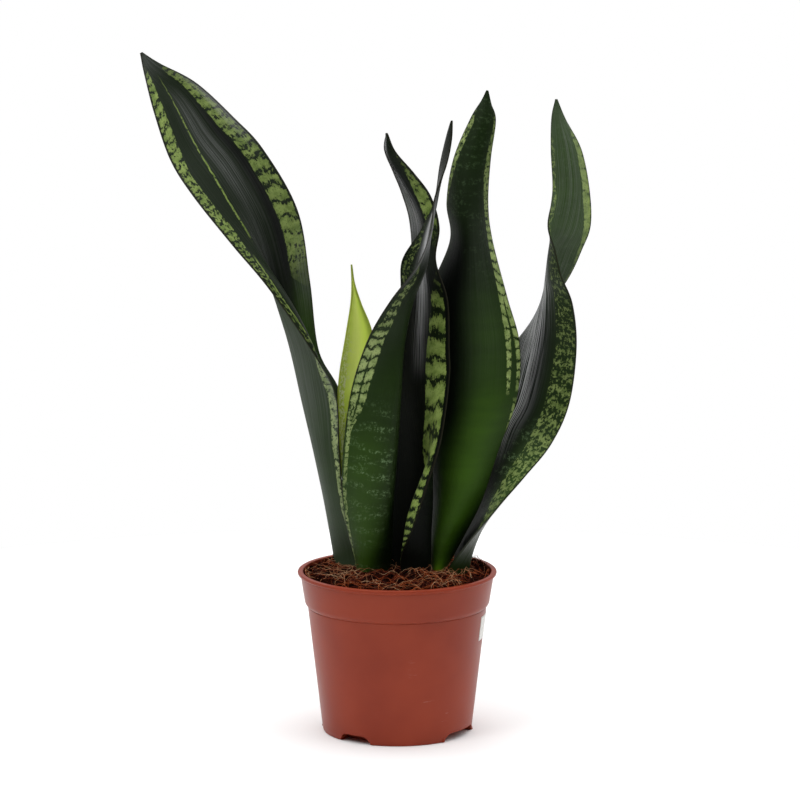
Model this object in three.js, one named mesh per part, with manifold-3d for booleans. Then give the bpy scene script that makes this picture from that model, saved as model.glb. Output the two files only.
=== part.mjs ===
// Potted snake plant: six stiff leaves on one buried rhizome, in a plastic nursery pot of potting mix.
// Millimetres, +Z up. The origin is the middle of the pot's flat underside, and the front faces -Y.
import * as THREE from "three";
import { mergeVertices } from "three/addons/utils/BufferGeometryUtils.js";
import Module from "manifold-3d";

const wasm = await Module();
wasm.setup();

// ---- driving dimensions ----
const POT_HEIGHT = 98;
const RIM_RADIUS = 60; // over the lip: a 12 cm nursery pot
const LIP_HEIGHT = 1.8;
const BAND_TOP_RADIUS = 58.2;
const BAND_FOOT_RADIUS = 55.8;
const BAND_FOOT_Z = 80;
const STEP_Z = 77;
const STEP_RADIUS = 54;
const FOOT_RADIUS = 45;
const FOOT_CHAMFER = 1;
const WALL = 1.4;
const POT_SIDES = 48;

// Two narrow drains and two wide ones, at angles in degrees from the front, towards +X.
const DRAINS = [
  { angle: -35, width: 22 },
  { angle: 61, width: 34 },
  { angle: 145, width: 22 },
  { angle: 241, width: 34 },
];
const DRAIN_HEIGHT = 5;
const DRAIN_SHOULDER = 5;
const DRAIN_DEPTH = 10; // from the foot inwards
const DRAIN_HOLE_RADIUS = 2.4;

const CLEARANCE = 0.3; // between pieces that touch
const SOIL_TOP = 95.8;
const SOIL_RINGS = [9, 18, 27, 36, 44, 51];
const SOIL_LUMP = 0.9;
const SOIL_MOUNDS = [
  { at: [-36, 38], rise: 3.2, spread: 12 },
  { at: [47, 22], rise: 3.4, spread: 13 },
  { at: [-9, -14], rise: 2.4, spread: 10 },
  { at: [18, -16], rise: 1.4, spread: 12 },
];

const RHIZOME_RADIUS = 8.5;
const RHIZOME_ROUTE = [[-38, 23, 65], [-25, 16, 66], [-12, 8, 67], [8, 5, 67], [24, 8, 67], [40, 6, 65]];
const ROOT_RADIUS = 2;
const ROOTS = [
  [[-30, 19, 64], [-34, 22, 48], [-29, 27, 33], [-33, 24, 18]],
  [[-14, 9, 64], [-12, 1, 50], [-17, -8, 36], [-12, -12, 20]],
  [[6, 5, 64], [4, 14, 50], [9, 22, 35], [5, 26, 19]],
  [[22, 8, 64], [27, 0, 49], [23, -9, 34], [29, -11, 20]],
  [[36, 6, 62], [37, 14, 48], [32, 20, 34], [35, 24, 20]],
];

const LEAF_ROWS = 34;
const LEAF_COLUMNS = 6;
const LEAF_EDGE = 0.8; // thickness at the margins
const CURL_SCALE = 6.75; // brings the most of u * u * (1 - u) to 1
const LEAF_HOLE_STATIONS = 2; // how many stations of a leaf its hole in the mix follows
const LEAF_HOLE_CLEARANCE = 0.5;
const LEAF_HOLE_SINK = 6; // how far the hole reaches below the leaf, into the rhizome's own hollow

const LABEL_FACETS = [9.4, 13.4]; // from and to, in wall facets from the front towards +X
const LABEL_LOW = 58;
const LABEL_HIGH = 73;
const LABEL_THICKNESS = 0.4;
const LABEL_GAP = 0.15;

// Each leaf is lofted over three rails with as many stations: its left margin, its rib and its right
// margin, named as they lie when the leaf is seen from its inner face. fold is how sharply the section
// bends at the rib: 2 is a round channel and 1 is a crease. curl draws one wing in towards the other,
// so that its margin rolls out: which wing, the middle and the reach of the stretch along the leaf as
// shares of its length, and how far in mm.
const LEAVES = {
  leaf_long_left: {
    fold: 1.6, base: 4.2, middle: 2.6, tip: 1.2,
    curl: { wing: -1, at: 0.49, reach: 0.1, depth: 9 },
    left: [[-29, 15, 77], [-24, 17, 101], [-32, 17, 135], [-35, 20, 167], [-37, 24, 200], [-49, 24, 224],
      [-76, 16, 266], [-99, 16, 294], [-122, 22, 322], [-136, 30, 343], [-146, 40, 370], [-152, 50, 391],
      [-155, 55.5, 405]],
    rib: [[-33, 20, 77], [-37, 29, 100], [-43, 32, 133], [-50, 35, 165], [-57, 38, 195], [-64, 41, 226],
      [-73, 41, 258], [-85, 38, 300], [-102, 36, 333], [-118, 41, 354], [-133, 47, 378], [-149, 52, 394],
      [-154.5, 56, 405]],
    right: [[-32, 27, 79], [-28, 39, 101], [-34, 47, 134], [-34, 50, 168], [-35, 50, 198], [-48, 56, 223],
      [-53, 46, 268], [-60, 34, 312], [-80, 28, 349], [-98, 34, 368], [-121, 44, 388], [-143, 52, 399],
      [-154, 56, 405.5]],
  },
  leaf_young: {
    fold: 1.8, base: 2.8, middle: 1.8, tip: 1,
    left: [[-24, 15, 77], [-26, 22, 99], [-34, 28, 154], [-36, 29, 190], [-35, 30, 212], [-31, 31, 237],
      [-28, 33, 256], [-27.5, 34, 268], [-28.1, 35, 279]],
    rib: [[-22, 18, 77], [-22, 26, 97], [-26, 33, 152], [-26, 35, 187], [-25, 36, 210], [-23, 35, 235],
      [-25, 35, 256], [-26.6, 34.5, 268], [-27.6, 35, 279]],
    right: [[-19, 15, 77], [-17, 22, 99], [-19, 28, 154], [-16, 29, 190], [-15, 30, 212], [-15, 31, 237],
      [-22, 33, 256], [-25.8, 34, 268], [-27.1, 35, 279]],
  },
  leaf_front: {
    fold: 1.7, base: 4, middle: 2.6, tip: 1.2,
    left: [[-9, 8, 78], [-4, 12, 100], [-3, 14, 127], [-3, 13, 152], [-2, 11, 183], [-3, 8, 213],
      [-4, 12, 238], [2, 9, 264], [3, 2, 286], [14, 1, 304], [22, 2, 321], [25.5, 2, 343], [29, 0, 359],
      [31.8, -6.6, 370]],
    rib: [[-15, 3, 78], [-16, -3, 96], [-10, -9, 128], [-6, -14, 155], [-3, -17, 185], [0, -18, 213],
      [3, -12, 238], [8, -11, 261], [16, -9, 283], [19, -8, 303], [23, -6, 321], [27, -5, 343],
      [30, -5, 359], [32.2, -7, 370.5]],
    right: [[-21, 8, 78], [-25, 9, 101], [-31, 2, 128], [-33, -3, 155], [-31, -6, 185], [-26, -11, 215],
      [-17, -24, 243], [-4, -30, 266], [12, -27, 287], [20, -22, 307], [22, -18, 325], [29, -14, 345],
      [32, -10, 359], [32.6, -7.6, 370]],
  },
  leaf_centre: {
    fold: 1.8, base: 4, middle: 2.6, tip: 1.2,
    curl: { wing: 1, at: 0.18, reach: 0.115, depth: 10 },
    left: [[3, 14, 77], [-6, 20, 97], [-6, 23, 120], [-5, 25, 144], [-5, 26, 174], [-7, 27, 207],
      [-6, 27, 231], [2, 25, 261], [8, 26, 284], [7.5, 20, 307], [3, 18, 324], [-2.5, 16, 338],
      [-7.5, 14, 351], [-6.8, 12.4, 361]],
    rib: [[11, 5, 78], [18, 4, 96], [19, 5, 120], [20, 7, 145], [18, 8, 174], [14, 9, 203], [14, 10, 231],
      [15, 11, 260], [15, 20, 282], [16, 22, 302], [11, 22, 318], [3.5, 19, 332], [-5, 15, 347],
      [-6.3, 12, 361]],
    right: [[7, 1, 79], [2, -6, 104], [9, -13, 125], [17, -15, 150], [26, -14, 180], [31, -10, 216],
      [31, -8, 234], [30, -4, 263], [23, 8, 285], [25, 10, 305], [20, 12, 323], [10, 11, 337],
      [-1, 11, 350], [-5.8, 11.7, 361]],
  },
  leaf_tall: {
    fold: 2, base: 4.2, middle: 2.8, tip: 1.2,
    left: [[27, 12, 77], [31, 19, 96], [39, 17, 113], [51, 14, 138], [61, 14, 169], [72, 14, 201],
      [73.5, 16, 233], [66, 20, 261], [57, 29, 295], [54.5, 32, 317], [56, 34, 343], [59, 35, 366],
      [56.3, 35, 376], [54.4, 35, 384]],
    rib: [[23, 6, 77], [25, 5, 95], [26, 5, 112], [33, 5, 137], [39, 6, 167], [45, 6, 199], [47, 7, 231],
      [45, 9, 261], [44, 14, 295], [42, 20, 318], [44, 26, 342], [51, 30, 366], [53.5, 33, 377.5],
      [54, 34.6, 384.3]],
    right: [[21, 12, 77], [21, 20, 96], [19, 21, 112], [20, 22, 137], [19, 22, 167], [20, 22, 199],
      [19, 22, 232], [19, 24, 261], [32, 31, 294], [30, 33, 317], [34, 34, 343], [44, 35, 367],
      [50.6, 35, 378], [53.6, 35, 384]],
  },
  leaf_right: {
    fold: 1.8, base: 3.4, middle: 2.4, tip: 1.2,
    left: [[33, 14, 77], [35, 19, 97], [35, 28, 112], [42, 33, 126], [48, 34, 137], [51, 37, 157],
      [55, 39, 180], [62, 38, 200], [69, 35, 227], [93, 41, 255], [104, 34, 272], [111, 26, 289],
      [116, 20, 305], [115, 21, 326], [110, 22, 350], [100.5, 24, 368], [95.4, 25, 380]],
    rib: [[35, 4, 78], [41, -1, 96], [45, 3, 111], [50, 12, 125], [54, 20, 136], [61, 25, 156],
      [67, 29, 178], [76, 30, 197], [84, 29, 231], [88.5, 27, 259], [90, 25, 273], [93, 22, 290],
      [99, 18, 305], [103, 16, 327], [101, 18, 350], [97, 22, 368], [95, 24.6, 380]],
    right: [[30, 4, 79], [30, -5, 98], [41, -8, 115], [55, -6, 131], [64, 3, 140], [77, 8, 154],
      [93, 17, 172], [104, 22, 196], [108, 20, 230], [105, 10, 258], [98, 5, 276], [94, 6, 292],
      [90, 10, 306], [93, 19, 326], [92, 22, 350], [92.3, 24, 369], [94.6, 25, 380]],
  },
};

// ---- finishes ----
const finish = (color, roughness) => new THREE.MeshStandardMaterial({ color, roughness, metalness: 0 });
const POT_PLASTIC = finish(0x853a2c, 0.4);
const POTTING_MIX = finish(0x3a1e16, 0.95);
const RHIZOME_SKIN = finish(0xb98a4a, 0.7);
const LABEL_PAPER = finish(0xe9e9e6, 0.5);
const LEAF_GREEN = finish(0x24351f, 0.35);
const YOUNG_GREEN = finish(0x9db33c, 0.4);

// ---- helpers ----
function merged(geometry) {
  const bare = geometry.clone();
  bare.deleteAttribute("normal");
  bare.deleteAttribute("uv");
  return mergeVertices(bare, 1e-4);
}

function toSolid(geometry) {
  const mesh = merged(geometry);
  return new wasm.Manifold(new wasm.Mesh({
    numProp: 3,
    vertProperties: new Float32Array(mesh.attributes.position.array),
    triVerts: new Uint32Array(mesh.index.array),
  }));
}

function toGeometry(solid) {
  const mesh = solid.getMesh();
  const geometry = new THREE.BufferGeometry();
  geometry.setAttribute("position", new THREE.Float32BufferAttribute(mesh.vertProperties, 3));
  geometry.setIndex(new THREE.Uint32BufferAttribute(mesh.triVerts, 1));
  return geometry;
}

function namedMesh(name, geometry, material) {
  geometry.computeVertexNormals();
  const mesh = new THREE.Mesh(geometry, material);
  mesh.name = name;
  return mesh;
}

// A profile of [radius, z] points turned about the Z axis.
function turned(profile, sides = POT_SIDES) {
  const points = profile.map(([radius, z]) => new THREE.Vector2(radius, z));
  return new THREE.LatheGeometry(points, sides).rotateX(Math.PI / 2);
}

// A closed sheet: a plane grid laid out by place(across, along, side), with side +1 on its front and
// -1 on its back, the same diagonals on both, and a strip all round between them.
function sheet(columns, rows, place) {
  const grid = new THREE.PlaneGeometry(1, 1, columns, rows);
  const count = grid.attributes.position.count;
  const positions = [];
  for (const side of [1, -1]) {
    for (let i = 0; i < count; i += 1) {
      const across = grid.attributes.uv.getX(i);
      const along = grid.attributes.uv.getY(i);
      positions.push(...place(across, along, side).toArray());
    }
  }
  const front = Array.from(grid.index.array);
  const index = [...front];
  for (let i = 0; i < front.length; i += 3) {
    index.push(front[i] + count, front[i + 2] + count, front[i + 1] + count);
  }
  const border = borderOf(columns, rows);
  border.forEach((a, i) => {
    const b = border[(i + 1) % border.length];
    index.push(a, a + count, b, b, a + count, b + count);
  });
  const geometry = new THREE.BufferGeometry();
  geometry.setAttribute("position", new THREE.Float32BufferAttribute(positions, 3));
  geometry.setIndex(index);
  return geometry;
}

// The border of a plane grid, in the turning direction of its faces.
function borderOf(columns, rows) {
  const line = (from, step, length) => Array.from({ length }, (_, i) => from + i * step);
  const width = columns + 1;
  const last = width * (rows + 1) - 1;
  return [
    ...line(0, width, rows),
    ...line(width * rows, 1, columns),
    ...line(last, -width, rows),
    ...line(columns, -1, columns),
  ];
}

// ---- leaves ----
const railOf = (points) => new THREE.CatmullRomCurve3(
  points.map((point) => new THREE.Vector3(...point)), false, "catmullrom", 0.5);

// How far a wing's point at u, t is drawn in: nothing at the rib and the margin, most between them.
function curlDepth(curl, u, t) {
  if (!curl || u * curl.wing <= 0) return 0;
  const along = (t - curl.at) / curl.reach;
  return curl.depth * Math.exp(-along * along) * CURL_SCALE * u * u * (1 - Math.abs(u));
}

function bladeOf(leaf) {
  const [left, rib, right] = [leaf.left, leaf.rib, leaf.right].map(railOf);
  // u runs from -1 at the left margin to 1 at the right one, t from the base to the tip.
  const middle = (u, t) => {
    const [a, b, c] = [left.getPoint(t), rib.getPoint(t), right.getPoint(t)];
    const chord = c.clone().sub(a).multiplyScalar(u / 2);
    const belly = a.add(c).multiplyScalar(0.5).sub(b).multiplyScalar(Math.abs(u) ** leaf.fold);
    const point = b.add(chord).add(belly);
    point.x -= Math.sign(u) * curlDepth(leaf.curl, u, t);
    return point;
  };
  const normal = (u, t) => {
    const step = 0.01;
    const low = Math.max(t - step, 0);
    const high = Math.min(t + step, 1);
    const across = middle(u + step, t).sub(middle(u - step, t));
    const along = middle(u, high).sub(middle(u, low));
    return across.cross(along).normalize();
  };
  const thickness = (u, t) => {
    const core = THREE.MathUtils.lerp(leaf.middle, leaf.base, Math.max(1 - 4 * t, 0));
    const slim = THREE.MathUtils.lerp(core, leaf.tip, THREE.MathUtils.smoothstep(t, 0.4, 1));
    return LEAF_EDGE + (slim - LEAF_EDGE) * (1 - u * u);
  };
  return { middle, normal, thickness };
}

function leafGeometry(leaf) {
  const blade = bladeOf(leaf);
  return sheet(LEAF_COLUMNS, LEAF_ROWS, (across, along, side) => {
    const u = 2 * across - 1;
    const offset = blade.normal(u, along).multiplyScalar(side * blade.thickness(u, along) / 2);
    return blade.middle(u, along).add(offset);
  });
}

// The plain hole that a leaf stands in: its lower stretch, wider all round and sunk to the rhizome.
function leafHole(leaf) {
  const blade = bladeOf(leaf);
  const rows = 1 + Math.ceil(LEAF_ROWS * LEAF_HOLE_STATIONS / (leaf.rib.length - 1));
  return sheet(LEAF_COLUMNS, rows, (across, along, side) => {
    const u = 2 * across - 1;
    const row = Math.round(along * rows);
    const t = Math.max(row - 1, 0) / LEAF_ROWS;
    const point = blade.middle(u, t);
    const beyond = blade.middle(u * 1.05, t).sub(point).setLength(2 * LEAF_HOLE_CLEARANCE);
    if (Math.abs(u) === 1) point.add(beyond);
    const half = blade.thickness(u, t) / 2 + LEAF_HOLE_CLEARANCE;
    point.add(blade.normal(u, t).multiplyScalar(side * half));
    if (row === 0) point.z -= LEAF_HOLE_SINK;
    return point;
  });
}

// ---- rhizome ----
function stem(route, radius, sides, steps) {
  const section = new THREE.Shape().absarc(0, 0, radius, 0, 2 * Math.PI);
  return new THREE.ExtrudeGeometry(section, {
    extrudePath: railOf(route), steps, curveSegments: sides / 2, bevelEnabled: false,
  });
}

function rhizomeSolid(grow) {
  let solid = toSolid(stem(RHIZOME_ROUTE, RHIZOME_RADIUS + grow, 12, 9));
  for (const route of ROOTS) {
    solid = solid.add(toSolid(stem(route, ROOT_RADIUS + grow, 6, 4)));
  }
  return solid;
}

// ---- pot ----
function wallRadius(z) {
  return THREE.MathUtils.mapLinear(z, 0, STEP_Z, FOOT_RADIUS, STEP_RADIUS);
}

function innerProfile(gap, floorZ) {
  return [
    [wallRadius(floorZ + FOOT_CHAMFER) - WALL - gap - FOOT_CHAMFER, floorZ],
    [wallRadius(floorZ + FOOT_CHAMFER) - WALL - gap, floorZ + FOOT_CHAMFER],
    [STEP_RADIUS - WALL - gap, STEP_Z],
    [BAND_FOOT_RADIUS - WALL - gap, BAND_FOOT_Z],
  ];
}

function drainOutline(width, grow) {
  const half = width / 2 + grow;
  const height = DRAIN_HEIGHT + grow;
  const arch = new THREE.Shape();
  arch.moveTo(-half, -1);
  arch.lineTo(half, -1);
  arch.lineTo(half, 0);
  arch.quadraticCurveTo(half - 1, height, half - DRAIN_SHOULDER - 1, height);
  arch.lineTo(-half + DRAIN_SHOULDER + 1, height);
  arch.quadraticCurveTo(-half + 1, height, -half, 0);
  return arch;
}

// A drain's arch, run radially outwards from one radius to another.
function drainBlock({ angle, width }, grow, from, to) {
  const block = new THREE.ExtrudeGeometry(drainOutline(width, grow), {
    depth: to - from, steps: 1, curveSegments: 3, bevelEnabled: false,
  });
  block.rotateX(Math.PI / 2).translate(0, -from, 0);
  return toSolid(block.rotateZ(THREE.MathUtils.degToRad(angle)));
}

function drainHole({ angle }) {
  const hole = new THREE.CylinderGeometry(DRAIN_HOLE_RADIUS, DRAIN_HOLE_RADIUS, 4 * WALL, 8);
  hole.rotateX(Math.PI / 2).translate(0, -(FOOT_RADIUS - DRAIN_DEPTH / 2), DRAIN_HEIGHT + WALL);
  return toSolid(hole.rotateZ(THREE.MathUtils.degToRad(angle)));
}

function potGeometry() {
  const outside = [
    [0, 0],
    [FOOT_RADIUS - FOOT_CHAMFER, 0],
    [FOOT_RADIUS, FOOT_CHAMFER],
    [STEP_RADIUS, STEP_Z],
    [BAND_FOOT_RADIUS, BAND_FOOT_Z],
    [BAND_TOP_RADIUS, POT_HEIGHT - LIP_HEIGHT - 1],
    [RIM_RADIUS - 0.4, POT_HEIGHT - LIP_HEIGHT],
    [RIM_RADIUS, POT_HEIGHT - LIP_HEIGHT / 2],
    [RIM_RADIUS - 0.4, POT_HEIGHT],
  ];
  const inside = [[BAND_TOP_RADIUS - WALL, POT_HEIGHT], ...innerProfile(0, WALL).reverse(), [0, WALL]];
  const body = toSolid(turned([...outside, [0, POT_HEIGHT]]));
  let pot = toSolid(turned([...outside, ...inside]));
  for (const drain of DRAINS) {
    const housing = drainBlock(drain, WALL, FOOT_RADIUS - DRAIN_DEPTH - WALL, FOOT_RADIUS);
    pot = pot.add(housing.intersect(body));
  }
  for (const drain of DRAINS) {
    pot = pot.subtract(drainBlock(drain, 0, FOOT_RADIUS - DRAIN_DEPTH, FOOT_RADIUS + 5));
    pot = pot.subtract(drainHole(drain));
  }
  return toGeometry(pot);
}

// ---- potting mix ----
function soilHeight(x, y) {
  const ripple = Math.sin(x * 0.31 + 1.3) * Math.cos(y * 0.27) + Math.sin((x + y) * 0.19) * 0.6;
  let height = SOIL_TOP + SOIL_LUMP * ripple;
  for (const mound of SOIL_MOUNDS) {
    const away = Math.hypot(x - mound.at[0], y - mound.at[1]) / mound.spread;
    height += mound.rise * Math.exp(-away * away);
  }
  return height;
}

function soilGeometry(holes) {
  const gap = CLEARANCE;
  const bed = DRAIN_HEIGHT + 2 * WALL; // above the raised drains
  const edge = innerProfile(gap, bed);
  const mouth = THREE.MathUtils.mapLinear(
    SOIL_TOP, BAND_FOOT_Z, POT_HEIGHT, BAND_FOOT_RADIUS, BAND_TOP_RADIUS) - WALL - gap;
  const drained = FOOT_RADIUS - DRAIN_DEPTH - 2 * WALL - gap;
  const body = merged(turned([
    [0, WALL + gap],
    [drained - 1, WALL + gap],
    [drained, bed],
    ...edge,
    [mouth, SOIL_TOP],
    ...SOIL_RINGS.toReversed().map((radius) => [radius, SOIL_TOP]),
    [0, SOIL_TOP],
  ]));
  const position = body.attributes.position;
  for (let i = 0; i < position.count; i += 1) {
    const [x, y, z] = [position.getX(i), position.getY(i), position.getZ(i)];
    if (z > BAND_FOOT_Z + 1) position.setZ(i, soilHeight(x, y));
  }
  let soil = toSolid(body);
  for (const hole of holes) soil = soil.subtract(hole);
  return toGeometry(soil);
}

// ---- blank label ----
function labelGeometry() {
  const [first, last] = LABEL_FACETS;
  return sheet(last - first, 1, (across, along, side) => {
    const angle = (first + across * (last - first)) * (2 * Math.PI / POT_SIDES);
    const z = THREE.MathUtils.lerp(LABEL_LOW, LABEL_HIGH, along);
    const radius = wallRadius(z) + LABEL_GAP + (side > 0 ? LABEL_THICKNESS : 0);
    return new THREE.Vector3(radius * Math.sin(angle), -radius * Math.cos(angle), z);
  });
}

// ---- the plant ----
const plant = new THREE.Group();
const holes = [rhizomeSolid(CLEARANCE), ...Object.values(LEAVES).map((leaf) => toSolid(leafHole(leaf)))];
plant.add(namedMesh("pot", potGeometry(), POT_PLASTIC));
plant.add(namedMesh("potting_soil", soilGeometry(holes), POTTING_MIX));
plant.add(namedMesh("rhizome", toGeometry(rhizomeSolid(0)), RHIZOME_SKIN));
for (const [name, leaf] of Object.entries(LEAVES)) {
  plant.add(namedMesh(name, leafGeometry(leaf), name === "leaf_young" ? YOUNG_GREEN : LEAF_GREEN));
}
plant.add(namedMesh("blank_label", labelGeometry(), LABEL_PAPER));

export default plant;
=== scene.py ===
"""Potted snake plant, dressed for rendering. Metres, +Z up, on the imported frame.

The pot, potting mix, leaves and blank label are finer pieces of the same forms as the CAD nodes:
they stand on the same rails and profiles. Coir and crumbs lie on the mix.
"""
import math
import random

import bmesh
import bpy
from mathutils import Matrix, Vector, noise


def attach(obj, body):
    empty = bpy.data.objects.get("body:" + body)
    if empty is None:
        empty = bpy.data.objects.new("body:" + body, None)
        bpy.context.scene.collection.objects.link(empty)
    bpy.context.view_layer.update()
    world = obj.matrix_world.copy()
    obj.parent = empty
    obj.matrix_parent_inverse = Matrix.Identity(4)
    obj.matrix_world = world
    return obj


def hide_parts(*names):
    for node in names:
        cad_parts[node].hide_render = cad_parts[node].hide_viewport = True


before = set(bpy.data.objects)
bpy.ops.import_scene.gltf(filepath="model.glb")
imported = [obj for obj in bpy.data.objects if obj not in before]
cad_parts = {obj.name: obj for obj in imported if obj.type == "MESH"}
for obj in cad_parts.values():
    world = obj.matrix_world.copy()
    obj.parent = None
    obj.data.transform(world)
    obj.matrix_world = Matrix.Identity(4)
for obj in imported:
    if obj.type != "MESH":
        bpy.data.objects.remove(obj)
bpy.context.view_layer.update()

MM = 0.001

# ---- camera and studio ----
CAMERA_PLACE = (0.0017, -2.4, 0.616)
CAMERA_AIM = (0.0017, 0.0, 0.202)
CAMERA_LENS = 183.1
LAMPS = (("key", (-1.6, -1.5, 2.2), 16), ("fill", (1.9, -0.9, 1.5), 6))  # place and watts
LAMP_SIZE = 1.2
LAMP_AIM = (0, 0, 0.22)
FLOOR_RADIUS = 0.6

# ---- pot, in mm ----
POT_HEIGHT = 98
RIM_RADIUS = 60
LIP_HEIGHT = 1.8
BAND_TOP_RADIUS = 58.2
BAND_FOOT_RADIUS = 55.8
BAND_FOOT_Z = 80
STEP_Z = 77
STEP_RADIUS = 54
FOOT_RADIUS = 45
FOOT_CHAMFER = 1
WALL = 1.4
POT_SIDES = 144
SHARP_ANGLE = 32  # degrees, past which an edge of the pot is drawn sharp
DRAINS = ((-35, 22), (61, 34), (145, 22), (241, 34))  # degrees from the front, and width
DRAIN_HEIGHT = 5
DRAIN_SHOULDER = 5
DRAIN_DEPTH = 10
DRAIN_HOLE_RADIUS = 2.4

# ---- blank label on the wall, in mm ----
LABEL_ANGLES = (70.6, 100.4)  # degrees from the front
LABEL_HEIGHTS = (58.1, 72.9)
LABEL_LIFT = 0.2
LABEL_THICKNESS = 0.25

# ---- potting mix, in mm ----
SOIL_FLOOR = 9
SOIL_TOP = 95.8
SOIL_EDGE = 56.1
SOIL_LUMP = 0.9
SOIL_GRAIN = 0.9
SOIL_SIDES = 180
SOIL_RING_GAP = 1.2
SOIL_MOUNDS = (
    ((-36, 38), 3.2, 12),
    ((47, 22), 3.4, 13),
    ((-9, -14), 2.4, 10),
    ((18, -16), 1.4, 12),
)
CRUMBS = 520
CRUMB_SEED = 7
CRUMB_SIZES = (0.5, 1.7)
CRUMB_GIRTHS = ((0.7, 1.3), (0.7, 1.3), (0.5, 0.9))  # shares of the size along X, Y and Z
CRUMB_REACH = 55
FIBRE_START = 54  # fibres begin within this radius and stay within the next
FIBRE_REACH = 55.3
FIBRE_STEP = 1.8
FIBRE_CURL = 0.35  # steady turn at each step, at most, in radians
FIBRE_WANDER = 0.3  # uneven turn

# Coir fibres: name, darker and lighter colour, seed, how many, lengths, lifts and thickness in mm.
COIR = (
    ("coir_dark", (34, 9, 4), (86, 29, 14), 11, 560, (7, 20), (0.3, 2.8), 0.34),
    ("coir_tan", (130, 54, 26), (180, 94, 50), 12, 240, (7, 24), (0.6, 3.6), 0.25),
    ("coir_pale", (182, 124, 84), (218, 180, 142), 13, 90, (9, 24), (1.2, 5), 0.22),
    ("coir_loose", (150, 88, 56), (204, 152, 112), 14, 80, (14, 32), (3, 8), 0.2),
)

# ---- colours of the leaves, 0 to 255 ----
# bloom_and_sheen is a grey painted sheen with some real waxy bloom; shadow is the colour of painted
# shade.
DARK_LEAF = {
    "deep": (18, 29, 13), "fresh": (58, 91, 18), "base": (100, 142, 20), "pale": (168, 184, 124),
    "olive": (144, 168, 78), "mottle": (20, 32, 14), "fleck": (112, 140, 96),
    "bloom_and_sheen": (206, 207, 208), "shadow": (6, 8, 7), "edge": (34, 32, 20),
}
YOUNG_LEAF = {
    "deep": (214, 238, 92), "fresh": (236, 252, 132), "base": (222, 244, 120), "pale": (238, 242, 204),
    "olive": (214, 226, 150), "mottle": (176, 200, 80), "fleck": (224, 236, 170),
    "bloom_and_sheen": (220, 228, 190), "shadow": (116, 138, 40), "edge": (150, 160, 66),
}

# ---- leaves, in mm ----
LEAF_ROWS = 230
LEAF_COLUMNS = 40
LEAF_EDGE = 0.8
MARGIN_ROUND = 0.2
PATTERN_SHIFT = 350  # sets the pattern of each face apart from the others, along the leaf
PATTERN_WIDTH = 26.0  # half a leaf's width, as the lengthwise fibres take it
CURL_SCALE = 6.75  # brings the most of u * u * (1 - u) to 1
NO_CURL = (1, 0, 1, 0)

# Each leaf runs over three rails: its left margin, its rib and its right margin, named as seen from
# its inner face, by points from the foot to the tip. fold is how sharply the section bends at the
# rib, and thick its thickness there, at the foot, half way up and at the tip. curl draws one wing
# in, so that its margin rolls out: (wing, middle and reach of the stretch as shares of the length, mm).
LEAVES = {}
LEAVES["leaf_long_left"] = {
    "fold": 1.6, "thick": (4.2, 2.6, 1.2), "curl": (-1, 0.49, 0.1, 9),
    "left": [
        (-29, 15, 77), (-24, 17, 101), (-32, 17, 135), (-35, 20, 167), (-37, 24, 200), (-49, 24, 224),
        (-76, 16, 266), (-99, 16, 294), (-122, 22, 322), (-136, 30, 343), (-146, 40, 370),
        (-152, 50, 391), (-155, 55.5, 405)],
    "rib": [
        (-33, 20, 77), (-37, 29, 100), (-43, 32, 133), (-50, 35, 165), (-57, 38, 195), (-64, 41, 226),
        (-73, 41, 258), (-85, 38, 300), (-102, 36, 333), (-118, 41, 354), (-133, 47, 378),
        (-149, 52, 394), (-154.5, 56, 405)],
    "right": [
        (-32, 27, 79), (-28, 39, 101), (-34, 47, 134), (-34, 50, 168), (-35, 50, 198), (-48, 56, 223),
        (-53, 46, 268), (-60, 34, 312), (-80, 28, 349), (-98, 34, 368), (-121, 44, 388), (-143, 52, 399),
        (-154, 56, 405.5)],
}
LEAVES["leaf_young"] = {
    "fold": 1.8, "thick": (2.8, 1.8, 1),
    "left": [
        (-24, 15, 77), (-26, 22, 99), (-34, 28, 154), (-36, 29, 190), (-35, 30, 212), (-31, 31, 237),
        (-28, 33, 256), (-27.5, 34, 268), (-28.1, 35, 279)],
    "rib": [
        (-22, 18, 77), (-22, 26, 97), (-26, 33, 152), (-26, 35, 187), (-25, 36, 210), (-23, 35, 235),
        (-25, 35, 256), (-26.6, 34.5, 268), (-27.6, 35, 279)],
    "right": [
        (-19, 15, 77), (-17, 22, 99), (-19, 28, 154), (-16, 29, 190), (-15, 30, 212), (-15, 31, 237),
        (-22, 33, 256), (-25.8, 34, 268), (-27.1, 35, 279)],
}
LEAVES["leaf_front"] = {
    "fold": 1.7, "thick": (4, 2.6, 1.2),
    "left": [
        (-9, 8, 78), (-4, 12, 100), (-3, 14, 127), (-3, 13, 152), (-2, 11, 183), (-3, 8, 213),
        (-4, 12, 238), (2, 9, 264), (3, 2, 286), (14, 1, 304), (22, 2, 321), (25.5, 2, 343), (29, 0, 359),
        (31.8, -6.6, 370)],
    "rib": [
        (-15, 3, 78), (-16, -3, 96), (-10, -9, 128), (-6, -14, 155), (-3, -17, 185), (0, -18, 213),
        (3, -12, 238), (8, -11, 261), (16, -9, 283), (19, -8, 303), (23, -6, 321), (27, -5, 343),
        (30, -5, 359), (32.2, -7, 370.5)],
    "right": [
        (-21, 8, 78), (-25, 9, 101), (-31, 2, 128), (-33, -3, 155), (-31, -6, 185), (-26, -11, 215),
        (-17, -24, 243), (-4, -30, 266), (12, -27, 287), (20, -22, 307), (22, -18, 325), (29, -14, 345),
        (32, -10, 359), (32.6, -7.6, 370)],
}
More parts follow.
